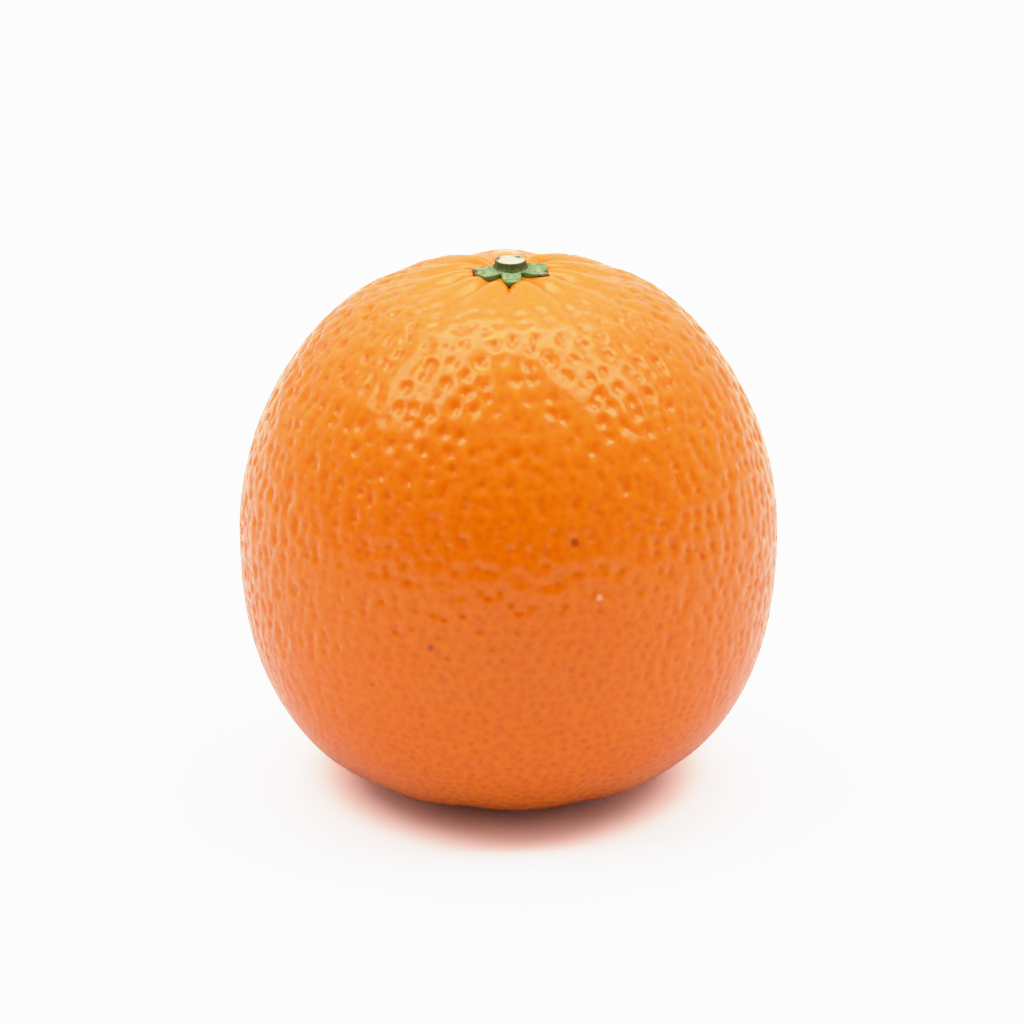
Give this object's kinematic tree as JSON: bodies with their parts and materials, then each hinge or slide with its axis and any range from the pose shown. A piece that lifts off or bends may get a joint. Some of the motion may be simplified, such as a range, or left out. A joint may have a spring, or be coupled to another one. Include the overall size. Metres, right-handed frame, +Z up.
{
  "type": "clementine",
  "caption": "Whole clementine with pitted glossy rind, green star calyx and snipped stalk stub, resting on its flattened base.",
  "frame": {"origin": "on the surface the fruit rests on, under the middle of the fruit", "axes": "+Z up from the resting surface to the calyx; -Y is the front, where the deepest crown furrow meets the calyx; +X is to the right seen from the front"},
  "size_m": [0.06, 0.06, 0.0602],
  "materials": {
    "rind": "waxy glossy orange rind, pitted all over with oil glands",
    "calyx": "matte grey-green sepals with brown tips",
    "stalk": "olive bark with a pale cream cut"
  },
  "bodies": {
    "root": {"fruit": "rind", "calyx": "calyx", "stalk_stub": "stalk"}
  },
  "joints": []
}
